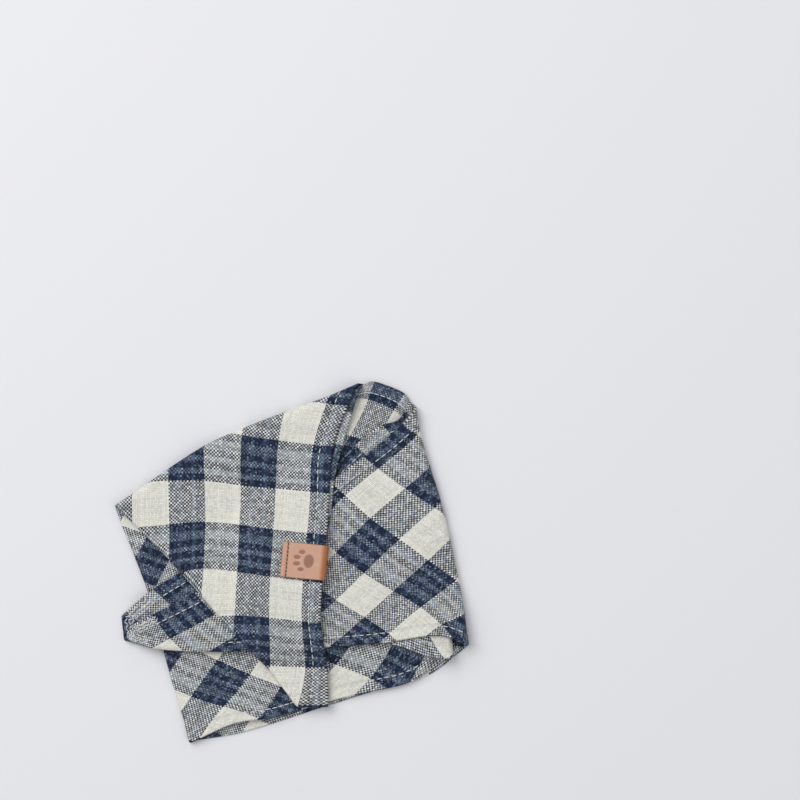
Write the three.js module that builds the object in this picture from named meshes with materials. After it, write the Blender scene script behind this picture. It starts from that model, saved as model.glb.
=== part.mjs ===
// A dog bandana: a half-square of cloth, folded to a packet, with a leather label over its hem.
// Millimetres, +Z up, lying on z = 0.
import * as THREE from "three";

// The cloth lies in six layers where the folds cross
const sheet = 1.0;
const layerPitch = 1.5;
const restHeight = sheet / 2;

// The cut cloth: along is measured on the first leg from the right-angled corner, across on the second
const sides = 336;
const secondLegSlant = 0.044;
const tieFlare = 6.6;
const tieFlareFrom = 200;
const tieFlareOver = 130;
const tieEnds = {
  first: { onLeg: [335, -6.6], onLongSide: [341.5, -2.5] },
  second: { onLeg: [-14.5, 336], onLongSide: [-8, 343] },
};

// The first fold lays the second half on the first, from the corner to the middle of the long side
const halving = { across: 7.5, degrees: 43.7, bend: 113, drift: 0.074, fadeFrom: 10, fadeTo: 80, radius: layerPitch / 2 };

// Outermost line of each later fold on the flat cloth, for either half: [along, across] at its two ends
const cornerFold = {
  first: [creasePoint(halving.bend), [134.2, 0]],
  second: [creasePoint(halving.bend), [-6.5, 148]],
};
const tieFold = {
  first: [[187.9, 0], [246.5, 90.5]],
  second: [[-8.1, 186.5], [90.4, 245.4]],
};
const rollRadius = { first: 2.4, second: 1.1 };

// Where points of the cloth lie once folded. Columns: along, across, x, y
const onFolds = {
  first: {
    corner: [
      [106.7, 50, -33.5, 49],
      [120.4, 21.7, -2.5, 63],
      [134.2, 0, 27.5, 74.5],
    ],
    tie: [
      [187.9, 0, 51.5, 65],
      [211.2, 36, 62, 26],
      [219.6, 49, 65.5, 12],
      [237.2, 76.1, 71.5, -18],
      [246.5, 90.5, 73.5, -34],
    ],
  },
  second: {
    corner: [
      [45.6, 112.3, -32.5, 47.5],
      [-6.5, 148, 29.2, 73.8],
    ],
    tie: [
      [-8.1, 186.5, 49.2, 67],
      [16.5, 201.2, 54.7, 44.8],
      [41.2, 216, 60.3, 22],
      [90.4, 245.4, 67, -37],
    ],
  },
};
const inPanels = {
  first: {
    corner: [
      [88.8, 35.8, -21, 32.5],
      [52.9, 50, -36.5, -2],
      [17.1, 21.7, -9, -42.5],
      [88.8, 7.5, 8, 30],
      [52.9, 7.5, 5, -7],
      [0, 0, 15, -59.5],
      [107.9, 0, 17, 48.5],
      [36.2, 0, 12, -24.5],
    ],
    tie: [
      [232, 7.5, 22.5, 28.5],
      [232, 21.7, 33, 19],
      [232, 50, 57, 1.5],
      [251.2, 64.2, 54, -18],
      [267.9, 35.8, 18.5, -15],
      [196.2, 0, 46.5, 58],
      [303.8, -6.7, -40.5, -12],
      [330.4, 7.5, -57, -34.5],
      [252.4, 84.6, 65.5, -30],
      [261.6, 75.4, 52.5, -30],
      [269.6, 67.4, 41.5, -32],
      [287.1, 50, 16.5, -34],
      [339.6, -5, -69.5, -29.5],
    ],
    base: [
      [179.4, 156.6, -21, -70.5],
      [195.5, 140.5, 3, -63],
      [216, 120.5, 33.5, -53.5],
      [232.5, 104.5, 57.5, -46.5],
    ],
  },
  second: {
    corner: [
      [-5.6, 135, 25, 63],
      [-5, 120.8, 21, 49],
      [-4.4, 106.7, 17.5, 34.5],
      [-3.7, 92.5, 16, 20],
      [-3.1, 78.3, 13.5, 6],
      [-0.5, 20, 8.5, -48],
    ],
    tie: [
      [-8.4, 198.3, 44.2, 59.2],
      [-8.8, 205.8, 38, 57.5],
      [-9.4, 219.9, 26.8, 49],
      [-10, 234.2, 15.5, 38],
      [-13, 302.5, -43, -2.5],
      [-13.8, 320.9, -59, -12],
      [-14.5, 336, -71, -22.5],
      [-8, 343, -70, -32],
      [55.4, 280.4, 18, -31.5],
    ],
    base: [
      [124.6, 163.3, -31, -40.5],
      [124.6, 177.5, -17.5, -46.5],
      [149, 187, -22.5, -66],
      [141.7, 191.7, -12.5, -63.5],
      [121.5, 213.5, 15, -57],
      [107.9, 220, 33, -48],
      [99.2, 234.2, 51, -47],
      [-7.5, 163.3, 34.5, 76],
      [-7.5, 177.5, 47, 70.5],
      [16.7, 163.3, 24.5, 53.5],
    ],
  },
};

// Where the first fold lies in the corner panel and in the base. Columns: distance along the fold, x, y
const onCrease = {
  corner: [
    [0, 3, -60],
    [30, -16, -37],
    [60, -36, -14.5],
    [90, -56.5, 7.5],
    [113, -73.5, 24],
  ],
  base: [
    [113, -73.5, 24],
    [158, -60, -12],
    [191.6, -52.5, -40],
    [232, -42.5, -74.5],
  ],
  tie: [],
};

// Lines in plan that a layer climbs over, as [x, y] ends with the raised side on the right
const tieHemLine = [[-59, -10], [44, 60]];
const tieLowerEdge = [[74, -37], [-70, -37]];
const baseLeftEdge = [[-42, -75], [-74, 24]];
const climb = 7;
const droop = 11;

// The label is a strip folded over the hem of the first leg
const label = { length: 19, width: 14.6, thick: 0.8, gap: 0.3, x: 5.6, y: 1.4, degrees: -5.5, lift: 1.15 };
const labelRise = { inner: 13, outer: 32 };

// The packet's outline is centred on the origin by this shift
const centring = { x: 0.06, y: 0.42 };

// Rows and columns of the mesh: fine beside a fold, even elsewhere
const rowCount = { corner: 14, top: 7, side: 12 };
const columnCount = { panel: 13, tie: 13 };

const smoothStep = (x) => {
  const k = Math.min(Math.max(x, 0), 1);
  return k * k * (3 - 2 * k);
};
const mix = (a, b, k) => a + (b - a) * k;
const mixPair = (a, b, k) => [mix(a[0], b[0], k), mix(a[1], b[1], k)];

// Distance of a point from a line in plan, positive on its left
function leftOf([[x0, y0], [x1, y1]], x, y) {
  const length = Math.hypot(x1 - x0, y1 - y0);
  return ((x1 - x0) * (y - y0) - (y1 - y0) * (x - x0)) / length;
}

// The halved cloth: p runs along the first fold, q away from it, share is -1 on the first half and 1 on the second
function halve(along, across) {
  const angle = THREE.MathUtils.degToRad(halving.degrees);
  const [c, s] = [Math.cos(angle), Math.sin(angle)];
  const p = along * c + (across - halving.across) * s;
  const straight = along * s - (across - halving.across) * c;
  const fade = smoothStep((halving.fadeTo - Math.abs(straight)) / (halving.fadeTo - halving.fadeFrom));
  const q = straight + halving.drift * fade * Math.max(0, p - halving.bend);
  const { radius } = halving;
  const quarter = (Math.PI * radius) / 2;
  if (Math.abs(q) < quarter) return { p, q: radius * (1 - Math.cos(q / radius)), share: -Math.sin(q / radius) };
  return { p, q: radius + Math.abs(q) - quarter, share: -Math.sign(q) };
}

// Distance past a fold's outermost line in the halved cloth, and the direction it is measured in
function pastFold(fold, inside, { p, q, share }) {
  const k = (1 + share) / 2;
  const ends = [0, 1].map((end) => {
    const [a, b] = [halve(...fold.first[end]), halve(...fold.second[end])];
    return mixPair([a.p, a.q], [b.p, b.q], k);
  });
  const [dp, dq] = [ends[1][0] - ends[0][0], ends[1][1] - ends[0][1]];
  const length = Math.hypot(dp, dq);
  let [np, nq] = [dq / length, -dp / length];
  const target = halve(...inside);
  if ((target.p - ends[0][0]) * np + (target.q - ends[0][1]) * nq < 0) [np, nq] = [-np, -nq];
  const distance = (p - ends[0][0]) * np + (q - ends[0][1]) * nq;
  const radius = mix(rollRadius.first, rollRadius.second, k);
  const quarter = (Math.PI * radius) / 2;
  const away = Math.abs(distance);
  const squeezed = away < quarter ? radius * (1 - Math.cos(away / radius)) : radius + away - quarter;
  return {
    distance,
    turned: Math.min(Math.max((distance + quarter) / (2 * quarter), 0), 1),
    above: [(squeezed - distance) * np, (squeezed - distance) * nq],
    below: [(-squeezed - distance) * np, (-squeezed - distance) * nq],
  };
}

const pastCorner = (halved) => pastFold(cornerFold, [0, 0], halved);
const pastTie = (halved) => pastFold(tieFold, tieEnds.first.onLeg, halved);

// Solves a square set of linear equations with two right-hand columns
function solve(matrix, right) {
  const n = matrix.length;
  const rows = matrix.map((row, i) => [...row, ...right[i]]);
  for (let i = 0; i < n; i++) {
    let best = i;
    for (let k = i + 1; k < n; k++) if (Math.abs(rows[k][i]) > Math.abs(rows[best][i])) best = k;
    [rows[i], rows[best]] = [rows[best], rows[i]];
    for (let k = 0; k < n; k++) {
      if (k === i) continue;
      const factor = rows[k][i] / rows[i][i];
      for (let m = i; m < n + 2; m++) rows[k][m] -= factor * rows[i][m];
    }
  }
  return rows.map((row, i) => [row[n] / row[i], row[n + 1] / row[i]]);
}

// A smooth chart through given places: a thin plate bent to pass through each of them
function chart(places) {
  const plate = (a, b) => {
    const r2 = (a[0] - b[0]) ** 2 + (a[1] - b[1]) ** 2;
    return r2 > 0 ? r2 * Math.log(r2) : 0;
  };
  const from = places.map((place) => place.from);
  const matrix = from.map((a) => [...from.map((b) => plate(a, b)), 1, ...a]);
  for (let k = 0; k < 3; k++) matrix.push([...from.map((b) => [1, ...b][k]), 0, 0, 0]);
  const weights = solve(matrix, [...places.map((place) => place.to), [0, 0], [0, 0], [0, 0]]);
  return (at) => {
    const terms = [...from.map((b) => plate(at, b)), 1, ...at];
    return [0, 1].map((axis) => terms.reduce((sum, term, i) => sum + term * weights[i][axis], 0));
  };
}

// Places in each panel's own chart, with the folds on either side rolled up
const shifted = ({ p, q }, one, other) => [p + one[0] + other[0], q + one[1] + other[1]];
const placeIn = {
  base: (halved) => shifted(halved, pastCorner(halved).below, pastTie(halved).below),
  corner: (halved) => shifted(halved, pastCorner(halved).above, pastTie(halved).below),
  tie: (halved) => shifted(halved, pastTie(halved).above, pastCorner(halved).below),
};

function chartOf(half, panel) {
  const folds = panel === "base" ? ["corner", "tie"] : [panel];
  const rows = [
    ...folds.flatMap((fold) => onFolds[half][fold]),
    ...inPanels[half][panel],
    ...onCrease[panel].map(([p, x, y]) => [...creasePoint(p), x, y]),
  ];
  return chart(rows.map(([along, across, x, y]) => ({ from: placeIn[panel](halve(along, across)), to: [x, y] })));
}

const charts = {};
for (const panel of ["base", "corner", "tie"]) {
  charts[panel] = { first: chartOf("first", panel), second: chartOf("second", panel) };
}

// Height of the middle of each half in each panel, over what lies under it
function decks(x, y) {
  const overTie = smoothStep(1 - leftOf(tieHemLine, x, y) / climb) * smoothStep(1 - leftOf(tieLowerEdge, x, y) / climb);
  const overBase = smoothStep(1 - leftOf(baseLeftEdge, x, y) / droop);
  const fromLabel = Math.hypot(x - label.x, y - label.y);
  const labelLift = label.lift * smoothStep((labelRise.outer - fromLabel) / (labelRise.outer - labelRise.inner));
  const tie = restHeight + 2 * layerPitch * overBase;
  const corner = restHeight + 2 * layerPitch * (1 + overTie);
  return {
    base: { first: restHeight, second: restHeight + layerPitch },
    tie: { first: tie + layerPitch, second: tie },
    corner: { first: corner + layerPitch + labelLift, second: corner },
  };
}

// Place of a point of the flat cloth in the folded packet
function folded([along, across]) {
  const halved = halve(along, across);
  const k = (1 + halved.share) / 2;
  const [corner, tie] = [pastCorner(halved), pastTie(halved)];
  const atCorner = corner.distance > tie.distance;
  const fold = atCorner ? corner : tie;
  const placed = (name) => {
    const at = placeIn[name](halved);
    return mixPair(charts[name].first(at), charts[name].second(at), k);
  };
  const plan = mixPair(placed("base"), placed(atCorner ? "corner" : "tie"), smoothStep(fold.turned));
  const deck = decks(...plan);
  const low = mix(deck.base.first, deck.base.second, k);
  const panel = atCorner ? deck.corner : deck.tie;
  const high = mix(panel.first, panel.second, k);
  const z = mix(low, high, (1 - Math.cos(Math.PI * fold.turned)) / 2);
  return new THREE.Vector3(plan[0] - centring.x, plan[1] - centring.y, z);
}

// Shares of a line of some length: close together beside its ends where a fold is, even between
function spread(length, count, startRoll, endRoll) {
  const start = startRoll ? [0, startRoll / 2, startRoll] : [0];
  const end = endRoll ? [endRoll, endRoll / 2, 0].map((d) => length - d) : [length];
  const from = start.at(-1);
  const to = end[0];
  const last = start.length + end.length + count - 2;
  if (to <= from) return Array.from({ length: last + 1 }, (_, i) => i / last);
  const middle = Array.from({ length: count - 1 }, (_, i) => from + ((i + 1) * (to - from)) / count);
  return [...start, ...middle, ...end].map((d) => d / length);
}

const distanceOf = (a, b) => Math.hypot(a[0] - b[0], a[1] - b[1]);

// Point of the cut edge on either leg
function legPoint(half, along) {
  if (half === "second") return [-secondLegSlant * (along - halving.across), along];
  return [along, -tieFlare * smoothStep((along - tieFlareFrom) / tieFlareOver)];
}

// Point on the first fold line at distance p from its end on the second leg
function creasePoint(p) {
  const angle = THREE.MathUtils.degToRad(halving.degrees);
  const q = -halving.drift * Math.max(0, p - halving.bend);
  return [
    p * Math.cos(angle) + q * Math.sin(angle),
    halving.across + p * Math.sin(angle) - q * Math.cos(angle),
  ];
}

// Distance along the first fold at which it meets the long side
function creaseLength() {
  let p = halving.bend;
  while (creasePoint(p)[0] + creasePoint(p)[1] < sides) p += 0.1;
  return p;
}

// Rows of flat points for one half: across the corner panel, the base and the tie panel
function halfRows(half) {
  const start = half === "first" ? 0 : halving.across;
  const cornerEdge = cornerFold[half][1][half === "first" ? 0 : 1];
  const tieTop = tieFold[half][0][half === "first" ? 0 : 1];
  const quarter = (Math.PI * rollRadius[half]) / 2;
  const widest = (Math.PI * rollRadius.first) / 2;
  const crease = (Math.PI * halving.radius) / 2;
  const length = creaseLength();
  const row = (from, to) => spread(distanceOf(from, to), columnCount.panel, crease, quarter).map((k) => mixPair(from, to, k));

  // Rows of the corner panel, close together beside the corner fold
  const { corner: cornerCount, top, side } = rowCount;
  const [nearCrease, nearLeg] = [widest, quarter].map((roll) => spread(halving.bend, cornerCount, 0, roll));
  const cornerRows = nearCrease
    .map((k, i) => row(creasePoint(k * halving.bend), legPoint(half, mix(start, cornerEdge, nearLeg[i]))));

  // Rows of the base: the first few end on the leg, the others on the tie fold
  const baseLength = length - halving.bend;
  const gap = Math.abs(tieTop - cornerEdge);
  const onCrease = spread(baseLength, top + side - 2, widest, 0);
  const onLeg = spread(gap, top - 4, quarter, quarter);
  const onFold = spread(distanceOf(...tieFold[half]), side - 2, quarter, 0);
  const baseRows = onCrease.map((k, i) => {
    const from = creasePoint(mix(halving.bend, length, k));
    if (i < top) return row(from, legPoint(half, mix(cornerEdge, tieTop, onLeg[i])));
    return row(from, mixPair(...tieFold[half], onFold[i - top]));
  });

  // Rows of the tie panel, from the tie fold to the leg and then to the blunt end of the tie
  const { onLeg: legEnd, onLongSide } = tieEnds[half];
  const lastOnLeg = half === "first" ? legEnd[0] : legEnd[1];
  const onTieLeg = spread(Math.abs(lastOnLeg - tieTop), side - 3, quarter, 0);
  const tieRows = onFold.map((share, i) => {
    const from = mixPair(...tieFold[half], share);
    if (i === 0) return Array.from({ length: columnCount.tie + 3 }, () => from);
    const to = i === side ? onLongSide : i === side - 1 ? legEnd : legPoint(half, mix(tieTop, lastOnLeg, onTieLeg[i]));
    return spread(distanceOf(from, to), columnCount.tie, quarter, 0).map((k) => mixPair(from, to, k));
  });
  return [cornerRows, baseRows, tieRows];
}

// Closed sheet from strips of flat points: both faces and the rim between them
function sheetGeometry() {
  const points = [];
  const keys = new Map();
  const indexOf = (point) => {
    const key = point.map((v) => Math.round(v * 50)).join();
    if (!keys.has(key)) keys.set(key, points.push(point) - 1);
    return keys.get(key);
  };
  const faces = [];
  const addFace = (a, b, c, turn) => {
    if (a !== b && b !== c && c !== a) faces.push(turn ? [a, c, b] : [a, b, c]);
  };
  for (const half of ["first", "second"]) {
    for (const rows of halfRows(half)) {
      for (let i = 0; i + 1 < rows.length; i++) {
        for (let j = 0; j + 1 < rows[i].length; j++) {
          const [a, b, c, d] = [rows[i][j], rows[i + 1][j], rows[i + 1][j + 1], rows[i][j + 1]].map(indexOf);
          addFace(a, b, c, half === "first");
          addFace(a, c, d, half === "first");
        }
      }
    }
  }
  const middle = points.map(folded);
  const normals = points.map(() => new THREE.Vector3());
  for (const face of faces) {
    const [a, b, c] = face.map((i) => middle[i]);
    const normal = new THREE.Vector3().crossVectors(b.clone().sub(a), c.clone().sub(a));
    face.forEach((i) => normals[i].add(normal));
  }
  normals.forEach((normal) => normal.normalize());
  const count = points.length;
  const positions = [];
  for (const side of [1, -1]) {
    middle.forEach((m, i) => positions.push(...m.clone().addScaledVector(normals[i], (side * sheet) / 2).toArray()));
  }
  const index = [];
  const edges = new Map();
  for (const [a, b, c] of faces) {
    index.push(a, b, c, a + count, c + count, b + count);
    for (const [u, v] of [[a, b], [b, c], [c, a]]) {
      if (edges.has(v + "," + u)) edges.delete(v + "," + u);
      else edges.set(u + "," + v, [u, v]);
    }
  }
  for (const [u, v] of edges.values()) index.push(u, v + count, v, u, u + count, v + count);
  const geometry = new THREE.BufferGeometry();
  geometry.setAttribute("position", new THREE.Float32BufferAttribute(positions, 3));
  geometry.setIndex(index);
  return geometry;
}

// The folded strip of leather, seen from its end as a U on its side, and as long as the label is wide
function labelGeometry() {
  const inside = sheet / 2 + label.gap;
  const outside = inside + label.thick;
  const bend = label.length / 2 - outside;
  const profile = new THREE.Shape();
  profile.moveTo(-label.length / 2, inside);
  profile.lineTo(-label.length / 2, outside);
  profile.lineTo(bend, outside);
  profile.absarc(bend, 0, outside, Math.PI / 2, -Math.PI / 2, true);
  profile.lineTo(-label.length / 2, -outside);
  profile.lineTo(-label.length / 2, -inside);
  profile.lineTo(bend, -inside);
  profile.absarc(bend, 0, inside, -Math.PI / 2, Math.PI / 2, false);
  const geometry = new THREE.ExtrudeGeometry(profile, { depth: label.width, bevelEnabled: false, curveSegments: 6 });
  geometry.translate(0, 0, -label.width / 2);
  geometry.rotateX(Math.PI / 2);
  return geometry;
}

const cloth = new THREE.Mesh(
  sheetGeometry(),
  new THREE.MeshStandardMaterial({ color: 0x6f7686, roughness: 0.9, metalness: 0, side: THREE.DoubleSide }),
);
cloth.name = "bandana_cloth";

const leather = new THREE.Mesh(
  labelGeometry(),
  new THREE.MeshStandardMaterial({ color: 0xc08a6c, roughness: 0.55, metalness: 0 }),
);
leather.name = "leather_label";
leather.rotation.z = THREE.MathUtils.degToRad(label.degrees);
leather.position.set(
  label.x - centring.x,
  label.y - centring.y,
  decks(label.x, label.y).corner.first,
);

const bandana = new THREE.Group();
bandana.add(cloth, leather);

export default bandana;
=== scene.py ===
import math

import bmesh
import bpy
import numpy as np
from mathutils import Matrix, Vector


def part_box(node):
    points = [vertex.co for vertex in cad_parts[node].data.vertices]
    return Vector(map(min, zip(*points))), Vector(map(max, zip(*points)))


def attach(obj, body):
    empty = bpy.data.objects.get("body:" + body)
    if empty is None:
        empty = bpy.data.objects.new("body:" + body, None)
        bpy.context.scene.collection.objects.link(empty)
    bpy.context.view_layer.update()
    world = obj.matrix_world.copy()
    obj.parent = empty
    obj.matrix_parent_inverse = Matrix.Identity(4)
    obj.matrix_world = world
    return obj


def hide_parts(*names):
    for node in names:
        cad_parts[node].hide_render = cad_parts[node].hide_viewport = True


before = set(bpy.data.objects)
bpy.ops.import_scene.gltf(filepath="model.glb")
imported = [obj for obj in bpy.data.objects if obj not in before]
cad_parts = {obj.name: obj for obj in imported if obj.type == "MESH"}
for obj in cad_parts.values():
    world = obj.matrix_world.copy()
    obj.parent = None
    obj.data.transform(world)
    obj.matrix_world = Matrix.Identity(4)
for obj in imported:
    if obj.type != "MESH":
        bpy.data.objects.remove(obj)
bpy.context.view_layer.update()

MM = 0.001

# The cut cloth, in mm: along is measured on the first leg from the right-angled corner, across on the second
SIDES = 336
SECOND_LEG_SLANT = 0.044
TIE_FLARE, TIE_FLARE_FROM, TIE_FLARE_OVER = 6.6, 200, 130
TIE_ENDS = {
    "first": ((335, -6.6), (341.5, -2.5)),
    "second": ((-14.5, 336), (-8, 343)),
}

# The first fold halves the triangle; two more lay the corner and the ties over the middle
LAYER_PITCH = 1.5
REST_HEIGHT = 0.5
CREASE_ACROSS, CREASE_ANGLE, CREASE_BEND = 7.5, math.radians(43.7), 113
CREASE_DRIFT, DRIFT_FADE = 0.074, (10, 80)
CREASE_RADIUS = LAYER_PITCH / 2
ROLL = {"first": 2.4, "second": 1.1}

# Where points of the cloth lie once folded. Columns: along, across, x, y
ON_FOLDS = {
    ("first", "corner"): (
        (106.7, 50, -33.5, 49),
        (120.4, 21.7, -2.5, 63),
        (134.2, 0, 27.5, 74.5),
    ),
    ("first", "tie"): (
        (187.9, 0, 51.5, 65),
        (211.2, 36, 62, 26),
        (219.6, 49, 65.5, 12),
        (237.2, 76.1, 71.5, -18),
        (246.5, 90.5, 73.5, -34),
    ),
    ("second", "corner"): (
        (45.6, 112.3, -32.5, 47.5),
        (-6.5, 148, 29.2, 73.8),
    ),
    ("second", "tie"): (
        (-8.1, 186.5, 49.2, 67),
        (16.5, 201.2, 54.7, 44.8),
        (41.2, 216, 60.3, 22),
        (90.4, 245.4, 67, -37),
    ),
}
IN_PANELS = {
    ("first", "corner"): (
        (88.8, 35.8, -21, 32.5),
        (52.9, 50, -36.5, -2),
        (17.1, 21.7, -9, -42.5),
        (88.8, 7.5, 8, 30),
        (52.9, 7.5, 5, -7),
        (0, 0, 15, -59.5),
        (107.9, 0, 17, 48.5),
        (36.2, 0, 12, -24.5),
    ),
    ("first", "tie"): (
        (232, 7.5, 22.5, 28.5),
        (232, 21.7, 33, 19),
        (232, 50, 57, 1.5),
        (251.2, 64.2, 54, -18),
        (267.9, 35.8, 18.5, -15),
        (196.2, 0, 46.5, 58),
        (303.8, -6.7, -40.5, -12),
        (330.4, 7.5, -57, -34.5),
        (252.4, 84.6, 65.5, -30),
        (261.6, 75.4, 52.5, -30),
        (269.6, 67.4, 41.5, -32),
        (287.1, 50, 16.5, -34),
        (339.6, -5, -69.5, -29.5),
    ),
    ("first", "base"): (
        (179.4, 156.6, -21, -70.5),
        (195.5, 140.5, 3, -63),
        (216, 120.5, 33.5, -53.5),
        (232.5, 104.5, 57.5, -46.5),
    ),
    ("second", "corner"): (
        (-5.6, 135, 25, 63),
        (-5, 120.8, 21, 49),
        (-4.4, 106.7, 17.5, 34.5),
        (-3.7, 92.5, 16, 20),
        (-3.1, 78.3, 13.5, 6),
        (-0.5, 20, 8.5, -48),
    ),
    ("second", "tie"): (
        (-8.4, 198.3, 44.2, 59.2),
        (-8.8, 205.8, 38, 57.5),
        (-9.4, 219.9, 26.8, 49),
        (-10, 234.2, 15.5, 38),
        (-13, 302.5, -43, -2.5),
        (-13.8, 320.9, -59, -12),
        (-14.5, 336, -71, -22.5),
        (-8, 343, -70, -32),
        (55.4, 280.4, 18, -31.5),
    ),
    ("second", "base"): (
        (124.6, 163.3, -31, -40.5),
        (124.6, 177.5, -17.5, -46.5),
        (149, 187, -22.5, -66),
        (141.7, 191.7, -12.5, -63.5),
        (121.5, 213.5, 15, -57),
        (107.9, 220, 33, -48),
        (99.2, 234.2, 51, -47),
        (-7.5, 163.3, 34.5, 76),
        (-7.5, 177.5, 47, 70.5),
        (16.7, 163.3, 24.5, 53.5),
    ),
}

# Where the first fold lies, in the corner panel and in the base. Columns: along the fold, x, y
CREASE = {
    "corner": ((0, 3, -60), (30, -16, -37), (60, -36, -14.5), (90, -56.5, 7.5), (113, -73.5, 24)),
    "base": ((113, -73.5, 24), (158, -60, -12), (191.6, -52.5, -40), (232, -42.5, -74.5)),
    "tie": (),
}

# Lines in plan that a layer climbs over, with the raised side on the right
TIE_HEM_LINE = ((-59, -10), (44, 60))
TIE_LOWER_EDGE = ((74, -37), (-70, -37))
BASE_LEFT_EDGE = ((-42, -75), (-74, 24))
CLIMB, DROOP = 7, 11

# The label: sizes and place in mm, its turn in degrees, and how far the cloth is lifted around it
LABEL = {
    "length": 19, "width": 14.6, "thick": 0.8, "gap": 0.3,
    "x": 5.6, "y": 1.4, "turn": -5.5, "lift": 1.15,
}
LABEL_RISE = (13, 32)
CENTRING = np.array((0.06, 0.42))

# Cloth and hem, in mm
CLOTH_THICK = 0.55
HEM_WIDTH, HEM_THICK = 5.4, 1.0
STITCH_PITCH, STITCH_LENGTH, STITCH_WIDTH, STITCH_INSET = 2.9, 2.65, 0.46, 4.6
STITCH_RISE, STITCH_LIFT = 0.15, 0.02
ZIGZAG_REACH, ZIGZAG_INSETS, ZIGZAG_LENGTH, ZIGZAG_LEAN = 12, (1.5, 3.1), 2.2, 0.9

# The cloth's UV map is its flat shape: UV_SPAN mm to the unit, moved by UV_SHIFT mm
UV_SPAN, UV_SHIFT = 400, 30

# How far the layers rise and sink, as a share of their height
WAVE_SHARE = 0.2

# Where upper layers stand off the ones below. Columns: x, y, reach, height, lowest height that is raised
OPENINGS = (
    (64, -33, 30, 3.4, 2.75),
    (36, 69, 28, 3, 2.75),
    (-18, -70, 34, 1.8, 1.25),
    (-62, -25, 20, 1.6, 2.75),
)

# The loop at the lower right, where the second half's long side sags
LOOP = {"x": 60, "y": -35, "reach": 18, "drop": 3.0}


def smooth_step(x):
    k = np.clip(x, 0, 1)
    return k * k * (3 - 2 * k)


def left_of(line, x, y):
    (x0, y0), (x1, y1) = line
    return ((x1 - x0) * (y - y0) - (y1 - y0) * (x - x0)) / math.hypot(x1 - x0, y1 - y0)


def crease_point(p):
    q = -CREASE_DRIFT * max(0, p - CREASE_BEND)
    c, s = math.cos(CREASE_ANGLE), math.sin(CREASE_ANGLE)
    return np.array((p * c + q * s, CREASE_ACROSS + p * s - q * c))


# Outermost line of each later fold on the flat cloth, for either half
CORNER_FOLD = {
    "first": (crease_point(CREASE_BEND), (134.2, 0)),
    "second": (crease_point(CREASE_BEND), (-6.5, 148)),
}
TIE_FOLD = {
    "first": ((187.9, 0), (246.5, 90.5)),
    "second": ((-8.1, 186.5), (90.4, 245.4)),
}


def halve(flat):
    """Lays the second half on the first: p along the crease, q away from it, share -1 below and 1 above."""
    c, s = math.cos(CREASE_ANGLE), math.sin(CREASE_ANGLE)
    along, across = flat[:, 0], flat[:, 1] - CREASE_ACROSS
    p = along * c + across * s
    straight = along * s - across * c
    fade = smooth_step((DRIFT_FADE[1] - abs(straight)) / (DRIFT_FADE[1] - DRIFT_FADE[0]))
    q = straight + CREASE_DRIFT * fade * np.maximum(0, p - CREASE_BEND)
    quarter = math.pi * CREASE_RADIUS / 2
    bent = abs(q) < quarter
    angle = np.clip(q / CREASE_RADIUS, -math.pi / 2, math.pi / 2)
    return (
        p,
        np.where(bent, CREASE_RADIUS * (1 - np.cos(angle)), CREASE_RADIUS + abs(q) - quarter),
        np.where(bent, -np.sin(angle), -np.sign(q)),
    )


def past_fold(fold, inside, halved):
    """How far points lie past a fold's outermost line, and the shifts that roll them above or below it."""
    p, q, share = halved
    k = (1 + share) / 2
    first, second = (np.stack(halve(np.array(fold[half], float))[:2], 1) for half in ("first", "second"))
    ends = [first[i][None] * (1 - k)[:, None] + second[i][None] * k[:, None] for i in (0, 1)]
    run = ends[1] - ends[0]
    length = np.hypot(run[:, 0], run[:, 1])
    normal = np.stack((run[:, 1] / length, -run[:, 0] / length), 1)
    target = np.stack(halve(np.array([inside], float))[:2], 1)
    facing = np.sign(((target - ends[0]) * normal).sum(1))
    normal *= facing[:, None]
    distance = ((np.stack((p, q), 1) - ends[0]) * normal).sum(1)
    radius = ROLL["first"] * (1 - k) + ROLL["second"] * k
    quarter = math.pi * radius / 2
    away = abs(distance)
    rolled = radius * (1 - np.cos(np.minimum(away, quarter) / radius))
    squeezed = np.where(away < quarter, rolled, radius + away - quarter)
    turned = np.clip((distance + quarter) / (2 * quarter), 0, 1)
    above, below = ((side * squeezed - distance)[:, None] * normal for side in (1, -1))
    return distance, turned, above, below


def panels(flat):
    """Places of points in the base's, corner panel's and tie panel's own charts, with their folds."""
    halved = halve(flat)
    corner = past_fold(CORNER_FOLD, (0, 0), halved)
    tie = past_fold(TIE_FOLD, TIE_ENDS["first"][0], halved)
    place = np.stack(halved[:2], 1)
    return {
        "share": halved[2],
        "corner_fold": corner,
        "tie_fold": tie,
        "base": place + corner[3] + tie[3],
        "corner": place + corner[2] + tie[3],
        "tie": place + tie[2] + corner[3],
    }


def chart(half, panel):
    """A thin plate bent to pass through each of the given places of one half's panel."""
    folds = ("corner", "tie") if panel == "base" else (panel,)
    rows = [row for fold in folds for row in ON_FOLDS[half, fold]] + list(IN_PANELS[half, panel])
    rows += [(*crease_point(p), x, y) for p, x, y in CREASE[panel]]
    rows = np.array(rows, float)
    source = panels(rows[:, :2])[panel]

    def plate(points):
        r2 = ((points[:, None] - source[None]) ** 2).sum(2)
        return np.hstack((r2 * np.log(np.maximum(r2, 1e-12)), np.ones((len(points), 1)), points))

    n = len(source)
    matrix = np.zeros((n + 3, n + 3))
    matrix[:n] = plate(source)
    matrix[n:, :n] = matrix[:n, n:].T
    weights = np.linalg.solve(matrix, np.vstack((rows[:, 2:], np.zeros((3, 2)))))
    return lambda points: plate(points) @ weights


CHARTS = {panel: [chart(half, panel) for half in ("first", "second")] for panel in ("corner", "tie", "base")}


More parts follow.
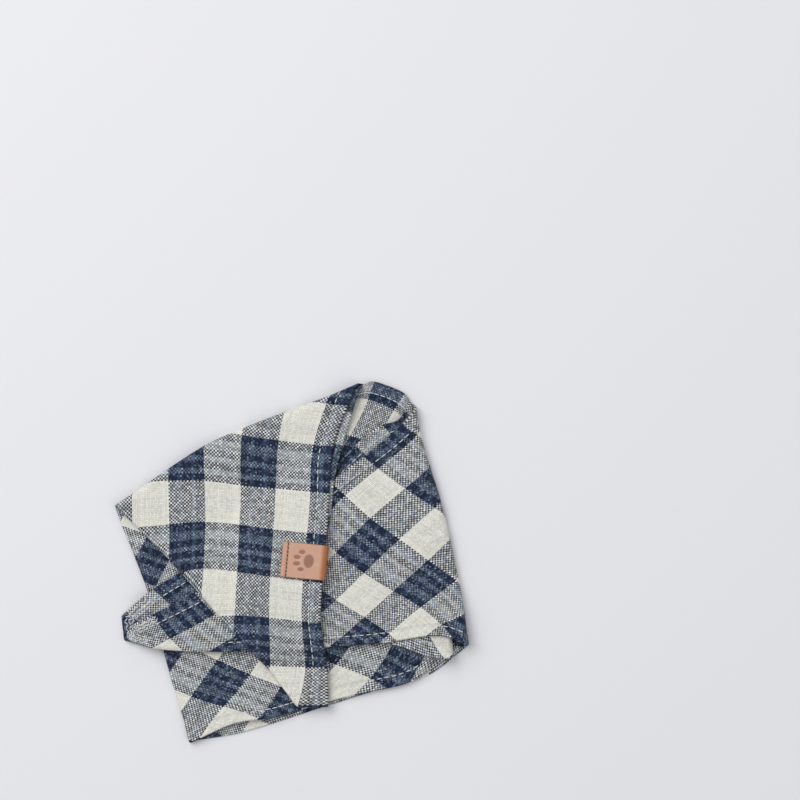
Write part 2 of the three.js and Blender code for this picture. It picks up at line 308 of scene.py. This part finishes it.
def wave(x, y):
    """The packet's soft unevenness in plan, about -1 to 1."""
    return (
        0.45 * np.sin(x / 17 + y / 29 + 0.6)
        + 0.35 * np.sin(y / 13 - x / 31 + 2.1)
        + 0.2 * np.sin(x / 8 + 1.3) * np.sin(y / 9 + 0.4)
    )


def folded(flat):
    """Places of points of the flat cloth in the folded packet, at the middle of the cloth's thickness."""
    flat = np.atleast_2d(np.asarray(flat, float))
    at = panels(flat)
    k = (1 + at["share"]) / 2
    corner, tie = at["corner_fold"], at["tie_fold"]
    on_corner = corner[0] > tie[0]
    turned = np.where(on_corner, corner[1], tie[1])
    blend = smooth_step(turned)[:, None]
    place = {}
    for panel, (first, second) in CHARTS.items():
        place[panel] = first(at[panel]) * (1 - k)[:, None] + second(at[panel]) * k[:, None]
    plan = place["base"] * (1 - blend) + np.where(on_corner[:, None], place["corner"], place["tie"]) * blend

    x, y = plan.T
    loop = smooth_step(1 - np.hypot(x - LOOP["x"], y - LOOP["y"]) / LOOP["reach"]) * k * blend[:, 0]
    plan = plan - loop[:, None] * (0, LOOP["drop"])
    past_hem, past_edge = (left_of(edge, x, y) for edge in (TIE_HEM_LINE, TIE_LOWER_EDGE))
    over_tie = smooth_step(1 - past_hem / CLIMB) * smooth_step(1 - past_edge / CLIMB)
    over_base = smooth_step(1 - left_of(BASE_LEFT_EDGE, x, y) / DROOP)
    near_label = smooth_step(
        (LABEL_RISE[1] - np.hypot(x - LABEL["x"], y - LABEL["y"])) / (LABEL_RISE[1] - LABEL_RISE[0])
    )
    tie_deck = REST_HEIGHT + 2 * LAYER_PITCH * over_base
    corner_deck = REST_HEIGHT + 2 * LAYER_PITCH * (1 + over_tie)
    low = REST_HEIGHT + LAYER_PITCH * k
    lifted = corner_deck + (1 - k) * LABEL["lift"] * near_label
    high = np.where(on_corner, lifted, tie_deck) + LAYER_PITCH * (1 - k)
    z = low + (high - low) * (1 - np.cos(math.pi * turned)) / 2
    z = REST_HEIGHT + (z - REST_HEIGHT) * (1 + WAVE_SHARE * wave(x, y) * (1 - near_label))
    for centre_x, centre_y, reach, height, above in OPENINGS:
        near = smooth_step(1 - np.hypot(x - centre_x, y - centre_y) / reach)
        z = z + height * near * smooth_step((z - above) / LAYER_PITCH + 0.5)
    return np.column_stack((plan - CENTRING, z))


def leg_point(half, along):
    if half == "second":
        return np.array((-SECOND_LEG_SLANT * (along - CREASE_ACROSS), along))
    return np.array((along, -TIE_FLARE * smooth_step((along - TIE_FLARE_FROM) / TIE_FLARE_OVER)))


def crease_length():
    p = CREASE_BEND
    while crease_point(p).sum() < SIDES:
        p += 0.1
    return p


def spread(length, count, start=(0,), end=(0,)):
    """Shares of a line: close together beside its ends, where a fold or hem is, and even between."""
    start, end = np.array(start, float), np.array(end, float)
    fit = min(1, 0.8 * length / max(start[-1] + end[-1], 1e-9))
    start, end = start * fit, end * fit
    middle = np.linspace(start[-1], length - end[-1], count + 1)
    return np.concatenate((start[:-1], middle, (length - end[:-1])[::-1])) / max(length, 1e-9)


def line(start, end, shares):
    start, end = np.asarray(start, float), np.asarray(end, float)
    return start + (end - start) * np.asarray(shares)[:, None]


# Distances from a fold or an edge at which the mesh has its rows and columns
AT_CREASE = (0, 0.3, 0.6, 0.9, 1.2, 1.8)
AT_ROLL = (0, 0.6, 1.2, 1.8, 2.4, 3.1, 3.9, 4.9)
AT_HEM = (0, 0.4, 1.6, 3.0, 4.0, 4.6, 5.2, 6.2)
PANEL_COLUMNS, TIE_COLUMNS = 44, 48
CORNER_ROWS, TOP_ROWS, SIDE_ROWS = 58, 20, 56


def strips(half):
    """Rows of flat points of one half: its corner panel, its base and its tie panel."""
    corner_end = CORNER_FOLD[half][1][0 if half == "first" else 1]
    tie_top = TIE_FOLD[half][0][0 if half == "first" else 1]
    start = 0 if half == "first" else CREASE_ACROSS
    last = TIE_ENDS[half][0][0 if half == "first" else 1]
    size = lambda a, b: float(np.hypot(*(np.asarray(b, float) - np.asarray(a, float))))
    row = lambda a, b, end: line(a, b, spread(size(a, b), PANEL_COLUMNS, AT_CREASE, end))

    near = spread(CREASE_BEND, CORNER_ROWS, (0,), AT_ROLL)
    corner_rows = [
        row(crease_point(k * CREASE_BEND), leg_point(half, start + (corner_end - start) * k), AT_HEM)
        for k in near
    ]

    length = crease_length() - CREASE_BEND
    on_leg = spread(abs(tie_top - corner_end), TOP_ROWS - len(AT_ROLL) + 1, AT_ROLL, AT_ROLL)
    top = len(on_leg) - 1
    on_fold = spread(size(*TIE_FOLD[half]), SIDE_ROWS, (0,), AT_HEM)
    side = len(on_fold) - 1
    on_crease = spread(length, top + side - len(AT_ROLL) - len(AT_HEM) + 2, AT_ROLL, AT_HEM)
    base_rows = []
    for i, k in enumerate(on_crease):
        begin = crease_point(CREASE_BEND + k * length)
        if i < top:
            end = leg_point(half, corner_end + (tie_top - corner_end) * on_leg[i])
            base_rows.append(row(begin, end, AT_HEM))
        else:
            end = line(*TIE_FOLD[half], [on_fold[i - top]])[0]
            base_rows.append(row(begin, end, AT_ROLL))

    tie_rows = []
    leg_end, long_side_end = (np.array(end, float) for end in TIE_ENDS[half])
    blunt = spread(size(leg_end, long_side_end), 4)[1:]
    leg_rows = side - len(blunt)
    along_leg = spread(last - tie_top, leg_rows)
    for i, k in enumerate(on_fold):
        begin = line(*TIE_FOLD[half], [k])[0]
        if i < leg_rows:
            end = leg_point(half, tie_top + (last - tie_top) * along_leg[i])
        elif i == leg_rows:
            end = leg_end
        else:
            end = line(leg_end, long_side_end, [blunt[i - leg_rows - 1]])[0]
        if i == 0:
            tie_rows.append(np.repeat(begin[None], TIE_COLUMNS + len(AT_ROLL) + len(AT_HEM) - 1, 0))
        else:
            tie_rows.append(line(begin, end, spread(size(begin, end), TIE_COLUMNS, AT_ROLL, AT_HEM)))
    return corner_rows, base_rows, tie_rows


def boundary():
    """The cut edge of the cloth, as flat points in order round it."""
    first = [leg_point("first", a) for a in np.linspace(0, TIE_ENDS["first"][0][0], 60)]
    second = [leg_point("second", a) for a in np.linspace(TIE_ENDS["second"][0][1], CREASE_ACROSS, 60)]
    first_end, second_end = TIE_ENDS["first"], TIE_ENDS["second"]
    rest = (*first_end, TIE_FOLD["first"][1], TIE_FOLD["second"][1], *second_end[::-1])
    return np.array([*first, *map(np.array, rest), *second, (0, 0)], float)


EDGE = boundary()


def from_edge(flat):
    """Distance of flat points from the cut edge, and how far round it their nearest point is."""
    a, b = EDGE[:-1], EDGE[1:]
    run = b - a
    size = np.hypot(*run.T)
    k = np.clip(((flat[:, None] - a[None]) * run[None]).sum(2) / np.maximum(size**2, 1e-9), 0, 1)
    distance = np.sqrt(((flat[:, None] - a[None] - k[..., None] * run[None]) ** 2).sum(2))
    rows, best = np.arange(len(flat)), distance.argmin(1)
    reach = np.concatenate(((0,), np.cumsum(size)))
    return distance[rows, best], reach[best] + k[rows, best] * size[best]


def half_thickness(edge):
    """Half the cloth's thickness: the hem is turned under twice and drawn in along its stitches."""
    hem = smooth_step((HEM_WIDTH + 0.4 - edge) / 0.8)
    groove = 0.14 * np.exp(-(((edge - STITCH_INSET) / 0.6) ** 2))
    return (CLOTH_THICK + (HEM_THICK - CLOTH_THICK) * hem) / 2 - groove


def cloth_mesh():
    index_of, flat, faces = {}, [], []

    def index(point):
        key = (round(point[0] * 40), round(point[1] * 40))
        if key not in index_of:
            index_of[key] = len(flat)
            flat.append(point)
        return index_of[key]

    for half in ("first", "second"):
        for rows in strips(half):
            numbered = [[index(point) for point in row] for row in rows]
            for lower, upper in zip(numbered, numbered[1:]):
                for j in range(len(lower) - 1):
                    corners = [lower[j], upper[j], upper[j + 1], lower[j + 1]]
                    corners = [v for i, v in enumerate(corners) if v != corners[i - 1]]
                    if len(corners) > 2:
                        faces.append(corners[::-1] if half == "first" else corners)
    flat = np.array(flat)
    middle = folded(flat)
    normal = np.zeros_like(middle)
    fans = np.array([(face[0], face[i], face[i + 1]) for face in faces for i in range(1, len(face) - 1)])
    a, b, c = (middle[fans[:, i]] for i in range(3))
    for i in range(3):
        np.add.at(normal, fans[:, i], np.cross(b - a, c - a))
    normal /= np.maximum(np.linalg.norm(normal, axis=1), 1e-12)[:, None]
    edge, round_edge = from_edge(flat)
    half = half_thickness(edge)[:, None]
    count = len(flat)
    vertices = np.vstack((middle + normal * half, middle - normal * half))

    # The hem's turned edge is round: the rim has a middle line that stands out a little
    rim, pairs = {}, {}
    for face in faces:
        for a, b in zip(face, face[1:] + face[:1]):
            if (b, a) in pairs:
                del pairs[(b, a)]
            else:
                pairs[(a, b)] = True
    tangent = np.zeros_like(middle)
    for a, b in pairs:
        tangent[a] += middle[b] - middle[a]
        tangent[b] += middle[b] - middle[a]
    for a, b in pairs:
        for v in (a, b):
            rim.setdefault(v, count * 2 + len(rim))
    ring = np.array(list(rim))
    outward = np.cross(tangent[ring], normal[ring])
    outward /= np.linalg.norm(outward, axis=1)[:, None]
    vertices = np.vstack((vertices, middle[ring] + outward * half[ring] * 0.8))
    solid = [list(face) for face in faces] + [[v + count for v in face[::-1]] for face in faces]
    for a, b in pairs:
        solid.append([b, a, rim[a], rim[b]])
        solid.append([rim[b], rim[a], a + count, b + count])

    mesh = bpy.data.meshes.new("bandana")
    mesh.from_pydata((vertices * MM).tolist(), [], solid)
    mesh.update()
    place = np.vstack((flat, flat, flat[ring]))
    uv = mesh.uv_layers.new(name="cut_cloth")
    loops = np.empty(len(mesh.loops), int)
    mesh.loops.foreach_get("vertex_index", loops)
    uv.data.foreach_set("uv", ((place[loops] + UV_SHIFT) / UV_SPAN).ravel())
    for name, values in (("from_edge", edge), ("round_edge", round_edge)):
        values = np.concatenate((values, values, values[ring]))
        mesh.attributes.new(name, "FLOAT", "POINT").data.foreach_set("value", values)
    mesh.polygons.foreach_set("use_smooth", [True] * len(mesh.polygons))
    return mesh


def stitch_places():
    """Flat points, directions and lengths of the stitches: a line round the hem, zigzags at blunt ends."""
    step = np.diff(EDGE, axis=0)
    reach = np.concatenate(((0,), np.cumsum(np.hypot(*step.T))))
    ends = np.array([point for pair in TIE_ENDS.values() for point in pair], float)
    for distance in np.arange(STITCH_PITCH / 2, reach[-1], STITCH_PITCH):
        i = min(int(np.searchsorted(reach, distance)) - 1, len(step) - 1)
        direction = step[i] / np.hypot(*step[i])
        inward = np.array((-direction[1], direction[0]))
        on_edge = EDGE[i] + direction * (distance - reach[i])
        flat = on_edge + inward * STITCH_INSET
        if abs(from_edge(flat[None])[0][0] - STITCH_INSET) < 0.4:
            yield flat, direction, STITCH_LENGTH
        if np.hypot(*(ends - on_edge).T).min() < ZIGZAG_REACH:
            for inset in ZIGZAG_INSETS:
                for shift, lean in ((0, ZIGZAG_LEAN), (STITCH_PITCH / 2, -ZIGZAG_LEAN)):
                    flat = on_edge + direction * shift + inward * inset
                    # Not where the next edge is nearer
                    if from_edge(flat[None])[0][0] > 0.9 * ZIGZAG_INSETS[0]:
                        yield flat, direction + inward * lean, ZIGZAG_LENGTH


def stitches(mesh_name):
    """Lockstitches along the hem, on both faces of the cloth: one stitch, laid down again and again."""
    bm = bmesh.new()
    bmesh.ops.create_uvsphere(bm, u_segments=6, v_segments=5, radius=1)
    for face in bm.faces:
        face.smooth = True
    one = bpy.data.meshes.new("one_stitch")
    bm.to_mesh(one)
    bm.clear()
    for flat, direction, size in stitch_places():
        direction = direction / np.hypot(*direction)
        inward = np.array((-direction[1], direction[0]))
        here, ahead, beside = folded([flat, flat + direction * 0.4, flat + inward * 0.4])
        forward = Vector(ahead - here).normalized()
        normal = forward.cross(Vector(beside - here)).normalized()
        side = normal.cross(forward)
        thick = float(half_thickness(from_edge(flat[None])[0])[0])
        for face in (1, -1):
            centre = (Vector(here) + normal * face * (thick + STITCH_LIFT)) * MM
            axes = Matrix((forward * size / 2, side * STITCH_WIDTH / 2, normal * STITCH_RISE))
            place = Matrix.Translation(centre) @ (axes.transposed() * MM).to_4x4()
            one.transform(place)
            bm.from_mesh(one)
            one.transform(place.inverted())
    # The lowest ones are pressed flat by what the packet lies on
    for v in bm.verts:
        v.co.z = max(v.co.z, 0)
    mesh = bpy.data.meshes.new(mesh_name)
    bm.to_mesh(mesh)
    bm.free()
    bpy.data.meshes.remove(one)
    return mesh


def new_object(name, mesh, material):
    obj = bpy.data.objects.new(name, mesh)
    bpy.context.scene.collection.objects.link(obj)
    mesh.materials.append(material)
    return obj


def linear(hex_colour):
    """An sRGB hex value as linear colour."""
    channels = [int(hex_colour[i:i + 2], 16) / 255 for i in (1, 3, 5)]
    return (*[c / 12.92 if c <= 0.04045 else ((c + 0.055) / 1.055) ** 2.4 for c in channels], 1)


def add(tree, kind, inputs=None, **settings):
    """Adds one node, with its settings, values and links."""
    node = tree.nodes.new("ShaderNode" + kind)
    for name, value in settings.items():
        setattr(node, name, value)
    for name, value in (inputs or {}).items():
        if isinstance(value, bpy.types.NodeSocket):
            tree.links.new(value, node.inputs[name])
        else:
            node.inputs[name].default_value = value
    return node.outputs[0]


def new_material(name):
    material = bpy.data.materials.new(name)
    material.use_nodes = True
    tree = material.node_tree
    return material, tree, tree.nodes["Principled BSDF"]


# Gingham: yarn-dyed cotton and linen in plain weave, so a check is navy, cream or the grey of both threads.
# Its threads are about 0.45 mm apart and drawn at 0.67 so that they show. They are uneven, and the paler
# lines in a navy check are faded threads
CREAM, NAVY, FADED, FAINT, FLECK = "#d9d8ce", "#232f48", "#6e7a88", "#4a5a73", "#ccd1d6"
# How dark a thread gets over dark ones: partly their colour showing between, partly painted shade
OVER_DARK_SHOW_THROUGH_AND_SHADE = "#dfe1e5"
ALONG_START, ALONG_PERIOD, ALONG_NAVY = 17.1, 35.85, 19.2
ACROSS_START, ACROSS_PERIOD, ACROSS_NAVY = -6.7, 28.33, 14.2
THREAD = 0.67

# Bands of threads across one repeat. Columns: start in mm, colour, how uneven its threads are
ALONG_BANDS = (
    (0, NAVY, 0.45), (2.6, FADED, 0.45), (4.7, NAVY, 0.45), (7.4, FADED, 0.45), (9.5, NAVY, 0.45),
    (12.0, FADED, 0.45), (15.9, NAVY, 0.45), (ALONG_NAVY, CREAM, 0.18),
)
ACROSS_BANDS = (
    (0, NAVY, 0.45), (3.6, FAINT, 0.4), (5.2, NAVY, 0.45), (9.0, FAINT, 0.4), (10.6, NAVY, 0.45),
    (ACROSS_NAVY, CREAM, 0.18),
)


def gingham():
    material, tree, shader = new_material("yarn_dyed_gingham")
    flat = add(tree, "UVMap", uv_map="cut_cloth")
    split = add(tree, "SeparateXYZ", {0: flat}).node
    do = lambda operation, *values: add(tree, "Math", dict(enumerate(values)), operation=operation)
    mixed = lambda factor, a, b: add(tree, "Mix", {0: factor, 6: a, 7: b}, data_type="RGBA").node.outputs[2]
    scaled = lambda vector, scale: add(tree, "VectorMath", {0: vector, "Scale": scale}, operation="SCALE")

    def threads(coordinate, other, start, period, bands):
        """Colour of the threads of one direction: bands, each thread with its own tone and slubs."""
        place = do("MULTIPLY_ADD", coordinate, UV_SPAN, -UV_SHIFT - start)
        ramp = add(tree, "ValToRGB", {0: do("FRACT", do("DIVIDE", place, period))}).node
        ramp.color_ramp.interpolation = "CONSTANT"
        elements = ramp.color_ramp.elements
        elements.remove(elements[-1])
        for i, (at, colour, uneven) in enumerate(bands):
            element = elements[0] if i == 0 else elements.new(at / period)
            element.position, element.color = at / period, (*linear(colour)[:3], uneven)
        thread = do("FLOOR", do("DIVIDE", place, THREAD))
        tone = add(tree, "TexWhiteNoise", {"W": do("ADD", thread, start)}, noise_dimensions="1D")
        along_thread = do("MULTIPLY", other, UV_SPAN / 7)
        slub_place = add(tree, "CombineXYZ", {0: do("MULTIPLY", thread, 1.7), 1: along_thread})
        slub = add(tree, "TexNoise", {"Vector": slub_place, "Scale": 1.0, "Detail": 3.0})
        swing = do("ADD", do("SUBTRACT", tone, 0.5), do("MULTIPLY", do("SUBTRACT", slub, 0.5), 1.4))
        level = do("MULTIPLY_ADD", swing, ramp.outputs[1], 1.0)
        return place, thread, scaled(ramp.outputs[0], level)

    u, v = split.outputs[0], split.outputs[1]
    s, s_thread, s_colour = threads(u, v, ALONG_START, ALONG_PERIOD, ALONG_BANDS)
    t, t_thread, t_colour = threads(v, u, ACROSS_START, ACROSS_PERIOD, ACROSS_BANDS)
    over = do("ABSOLUTE", do("MODULO", do("ADD", s_thread, t_thread), 2.0))
    # A thread over a dark one is darker: partly the dark threads' colour showing between, partly painted
    # shade from them
    beneath = add(tree, "SeparateXYZ", {0: mixed(over, t_colour, s_colour)})
    bright_beneath = do("MULTIPLY", beneath, 1.4)
    show_through_and_shade = mixed(bright_beneath, linear(OVER_DARK_SHOW_THROUGH_AND_SHADE), (1, 1, 1, 1))
    colour = add(tree, "VectorMath", {0: mixed(over, s_colour, t_colour), 1: show_through_and_shade}, operation="MULTIPLY")

    # Undyed fibre shows as pale flecks where a thread rises; the gaps between threads are darker with
    # painted shade, and each crossing's tone differs at random
    crossing = add(tree, "TexWhiteNoise", {"Vector": add(tree, "CombineXYZ", {0: s_thread, 1: t_thread})})
    colour = mixed(do("MULTIPLY", do("POWER", crossing, 12.0), 0.18), colour, linear(FLECK))
    hump = lambda place: do("ABSOLUTE", do("SINE", do("MULTIPLY", place, math.pi / THREAD)))
    relief = do("MULTIPLY", hump(s), hump(t))
    uneven = do("MULTIPLY", do("SUBTRACT", crossing, 0.5), do("MULTIPLY_ADD", bright_beneath, -0.8, 0.95))
    # Painted shade in the gaps between threads, plus the random tone of each crossing
    shade = do("ADD", do("MULTIPLY_ADD", relief, 0.3, 0.86), uneven)
    colour = scaled(colour, shade)

    # The hem puckers between its stitches, and painted shade darkens the line of its inner fold
    edge = add(tree, "Attribute", attribute_name="from_edge").node.outputs["Fac"]
    around = add(tree, "Attribute", attribute_name="round_edge").node.outputs["Fac"]
    beside = do("DIVIDE", do("SUBTRACT", edge, STITCH_INSET), 1.5)
    close = do("EXPONENT", do("MULTIPLY", do("MULTIPLY", beside, beside), -1.0))
    pucker = do("MULTIPLY", do("COSINE", do("MULTIPLY", around, 2 * math.pi / STITCH_PITCH)), close)
    # Painted shade along the hem's inner fold line
    fold_of_hem = do("DIVIDE", do("SUBTRACT", edge, HEM_WIDTH), 0.5)
    hem_fold_shade = do("EXPONENT", do("MULTIPLY", do("MULTIPLY", fold_of_hem, fold_of_hem), -1.0))
    colour = scaled(colour, do("MULTIPLY_ADD", hem_fold_shade, -0.16, 1.0))
    crumple = add(tree, "TexNoise", {"Vector": scaled(flat, UV_SPAN / 6), "Scale": 1.0, "Detail": 4.0})
    uneven_face = do("MULTIPLY_ADD", pucker, 0.25, crumple)
    creased = add(tree, "Bump", {"Height": uneven_face, "Strength": 0.55, "Distance": 0.0007})
    woven = add(tree, "Bump", {"Height": relief, "Strength": 0.5, "Distance": 0.0001, "Normal": creased})
    tree.links.new(colour, shader.inputs["Base Color"])
    tree.links.new(woven, shader.inputs["Normal"])
    shader.inputs["Roughness"].default_value = 0.9
    shader.inputs["IOR"].default_value = 1.46
    shader.inputs["Specular IOR Level"].default_value = 0.2
    shader.inputs["Sheen Weight"].default_value = 0.06
    shader.inputs["Sheen Roughness"].default_value = 0.5
    return material


def sewing_thread(name, hex_colour):
    """Twisted polyester and cotton: a slight shine, and painted shade where the plies meet, in the low
    places of its twist bump.
    """
    material, tree, shader = new_material(name)
    place = tree.nodes.new("ShaderNodeTexCoord").outputs["Object"]
    noise = add(tree, "TexNoise", {"Vector": place, "Scale": 2200.0, "Detail": 2.0})
    # Painted shade: a darker copy of the colour where the twist bump is low
    dark = (*[0.62 * c for c in linear(hex_colour)[:3]], 1)
    shade = add(tree, "Mix", {0: noise, 6: dark, 7: linear(hex_colour)}, data_type="RGBA").node.outputs[2]
    tree.links.new(shade, shader.inputs["Base Color"])
    twist = add(tree, "Bump", {"Height": noise, "Strength": 0.4, "Distance": 0.0001})
    tree.links.new(twist, shader.inputs["Normal"])
    shader.inputs["Roughness"].default_value = 0.6
    shader.inputs["Sheen Weight"].default_value = 0.2
    return material


def vegetable_tanned_leather():
    """Smooth cowhide: pores 0.3 mm apart, clouded tan, redder where bent, browner where pressed or cut."""
    material, tree, shader = new_material("vegetable_tanned_leather")
    mixed = lambda factor, a, b: add(tree, "Mix", {0: factor, 6: a, 7: b}, data_type="RGBA").node.outputs[2]
    place = tree.nodes.new("ShaderNodeTexCoord").outputs["Object"]
    pores = add(tree, "TexVoronoi", {"Vector": place, "Scale": 3300.0}, feature="F1")
    cloud = add(tree, "TexNoise", {"Vector": place, "Scale": 260.0, "Detail": 5.0})
    wear = lambda name: add(tree, "Attribute", attribute_name=name).node.outputs["Fac"]
    colour = mixed(cloud, linear("#bf8f78"), linear("#cda48c"))
    colour = mixed(wear("bent"), colour, linear("#a5612f"))
    colour = mixed(wear("pressed"), colour, linear("#8f6350"))
    colour = mixed(wear("cut"), colour, linear("#7a4630"))
    grain = add(tree, "Math", {0: pores, 1: 0.5, 2: cloud}, operation="MULTIPLY_ADD")
    tree.links.new(colour, shader.inputs["Base Color"])
    grained = add(tree, "Bump", {"Height": grain, "Strength": 0.3, "Distance": 0.00012})
    tree.links.new(grained, shader.inputs["Normal"])
    shader.inputs["Roughness"].default_value = 0.52
    shader.inputs["IOR"].default_value = 1.5
    return material


# Pads of a plain paw print pressed in the label. Columns: x, y, half length, half width, in mm
PAW = (
    (1.9, 0, 2.3, 3.0),
    (-1.2, -3.6, 1.5, 1.0),
    (-3.1, -1.35, 1.65, 1.05),
    (-3.1, 1.35, 1.65, 1.05),
    (-1.2, 3.6, 1.5, 1.0),
)
PAW_DEPTH, GROOVE_DEPTH, UNDER_GROOVE_DEPTH = 0.2, 0.22, 0.15
LABEL_STITCH = {"inset": 2.3, "pitch": 1.62, "length": 1.35, "width": 0.5}


def label_height(x, y):
    """How far a point of the label's face is in the paw, and in the stitches' groove, from 0 to 1."""
    inside = max(1 - math.hypot((x - px) / length, (y - py) / width) for px, py, length, width in PAW)
    paw = min(max(inside * 4 + 0.3, 0), 1)
    groove = math.exp(-(((x + LABEL["length"] / 2 - LABEL_STITCH["inset"]) / 0.45) ** 2))
    return paw, groove


def label_placement():
    low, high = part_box("leather_label")
    centre = Vector((LABEL["x"] - CENTRING[0], LABEL["y"] - CENTRING[1], (low[2] + high[2]) / 2 / MM)) * MM
    return Matrix.Translation(centre) @ Matrix.Rotation(math.radians(LABEL["turn"]), 4, "Z")


def label_mesh():
    """A strip of leather folded over the hem, pressed with a paw, darker along its cut edges."""
    inside = HEM_THICK / 2 + LABEL["gap"]
    middle = inside + LABEL["thick"] / 2
    bend_at = LABEL["length"] / 2 - inside - LABEL["thick"]
    arm = bend_at + LABEL["length"] / 2
    whole = 2 * arm + math.pi * middle
    bm = bmesh.new()
    bmesh.ops.create_grid(bm, x_segments=190, y_segments=66, size=0.5)
    layers = {name: bm.verts.layers.float.new(name) for name in ("bent", "pressed", "cut")}
    for v in bm.verts:
        run, y = v.co.x * whole + whole / 2, v.co.y * LABEL["width"]
        soft = 1 + 0.006 * math.sin(y * 0.9 + run * 0.25)
        paw, groove = 0, 0
        if run < arm:
            x, z = -LABEL["length"] / 2 + run, middle
            paw, groove = label_height(x, y)
            z -= PAW_DEPTH * paw + GROOVE_DEPTH * groove
        elif run > whole - arm:
            x, z = -LABEL["length"] / 2 + (whole - run), -middle
            groove = label_height(x, y)[1]
            z += UNDER_GROOVE_DEPTH * groove
        else:
            angle = (run - arm) / middle
            x, z = bend_at + middle * math.sin(angle), middle * math.cos(angle)
        v[layers["bent"]] = float(smooth_step((x - bend_at + 1.8) / 2.0))
        v[layers["pressed"]] = max(0.9 * paw, 0.8 * groove)
        rim = min(run, whole - run, LABEL["width"] / 2 - abs(y))
        v[layers["cut"]] = max(0, 1 - rim / 0.35) * 0.6
        v.co = (x * MM, y * soft * MM, z * MM)
    bmesh.ops.recalc_face_normals(bm, faces=bm.faces)
    bmesh.ops.transform(bm, matrix=label_placement(), verts=bm.verts)
    mesh = bpy.data.meshes.new("label")
    for face in bm.faces:
        face.smooth = True
    bm.to_mesh(mesh)
    bm.free()
    return mesh


def label_stitches():
    """A row of dark saddle stitches across the label's free end, on its top and underneath."""
    bm = bmesh.new()
    top = HEM_THICK / 2 + LABEL["gap"] + LABEL["thick"]
    count = int(LABEL["width"] // LABEL_STITCH["pitch"])
    for i in range(count):
        y = (i - (count - 1) / 2) * LABEL_STITCH["pitch"]
        for face in (1, -1):
            place = Vector((-LABEL["length"] / 2 + LABEL_STITCH["inset"], y, face * (top - 0.1))) * MM
            size = Matrix.Diagonal((LABEL_STITCH["width"] / 2, LABEL_STITCH["length"] / 2, 0.2, 1 / MM)) * MM
            turned = Matrix.Translation(place) @ Matrix.Rotation(math.radians(14), 4, "Z") @ size
            bmesh.ops.create_uvsphere(bm, u_segments=8, v_segments=6, radius=1, matrix=turned)
    bmesh.ops.transform(bm, matrix=label_placement(), verts=bm.verts)
    mesh = bpy.data.meshes.new("label_stitches")
    for face in bm.faces:
        face.smooth = True
    bm.to_mesh(mesh)
    bm.free()
    return mesh


cloth = new_object("checked_cloth", cloth_mesh(), gingham())
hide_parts("bandana_cloth")
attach(cloth, "root")

hem_thread = new_object("hem_stitches", stitches("hem_stitches"), sewing_thread("cotton_thread", "#dde2e3"))
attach(hem_thread, "root")

label = new_object("folded_label", label_mesh(), vegetable_tanned_leather())
solid = label.modifiers.new("leather", "SOLIDIFY")
solid.thickness, solid.offset = LABEL["thick"] * MM, 0
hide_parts("leather_label")
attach(label, "root")

label_thread = new_object("label_stitches", label_stitches(), sewing_thread("waxed_thread", "#5b3423"))
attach(label_thread, "root")

# Floor, soft light and the camera straight above. The view's centre, width and focus height are in mm
FLOOR, CAMERA_CENTRE, VIEW_WIDTH, FOCUS_HEIGHT, LENS, SENSOR = 3.0, (45.2, 68.1), 333.3, 5, 100.0, 36.0


def paper_floor():
    """Uncoated paper: matt and nearly white, with a faint tooth of fibres about 1 mm apart."""
    material, tree, shader = new_material("matt_paper")
    place = tree.nodes.new("ShaderNodeTexCoord").outputs["Object"]
    fibre = add(tree, "TexNoise", {"Vector": place, "Scale": 900.0, "Detail": 3.0})
    tooth = add(tree, "Bump", {"Height": fibre, "Strength": 0.05, "Distance": 0.0001})
    tree.links.new(tooth, shader.inputs["Normal"])
    shader.inputs["Base Color"].default_value = linear("#e2e2e6")
    shader.inputs["Roughness"].default_value = 0.9
    return material


bm = bmesh.new()
bmesh.ops.create_grid(bm, x_segments=2, y_segments=2, size=FLOOR / 2)
floor_mesh = bpy.data.meshes.new("floor")
bm.to_mesh(floor_mesh)
bm.free()
floor = new_object("floor", floor_mesh, paper_floor())


def area_light(name, place, size, power):
    data = bpy.data.lights.new(name, "AREA")
    data.size, data.energy = size, power
    lamp = bpy.data.objects.new(name, data)
    lamp.location = place
    lamp.rotation_euler = (-Vector(place)).to_track_quat("-Z", "Y").to_euler()
    bpy.context.scene.collection.objects.link(lamp)


area_light("window", (-0.8, 0.9, 1.4), 1.4, 25)
area_light("fill", (1.2, -0.6, 1.5), 1.6, 6)
world = bpy.data.worlds.new("studio")
world.use_nodes = True
world.node_tree.nodes["Background"].inputs[0].default_value = (0.97, 0.98, 1.0, 1)
world.node_tree.nodes["Background"].inputs[1].default_value = 0.46
bpy.context.scene.world = world
bpy.context.scene.view_settings.view_transform = "Standard"

camera_data = bpy.data.cameras.new("camera")
camera_data.lens, camera_data.sensor_width = LENS, SENSOR
camera = bpy.data.objects.new("camera", camera_data)
height = VIEW_WIDTH * LENS / SENSOR
camera.location = Vector((*(CAMERA_CENTRE - CENTRING), height + FOCUS_HEIGHT)) * MM
bpy.context.scene.collection.objects.link(camera)
bpy.context.scene.camera = camera
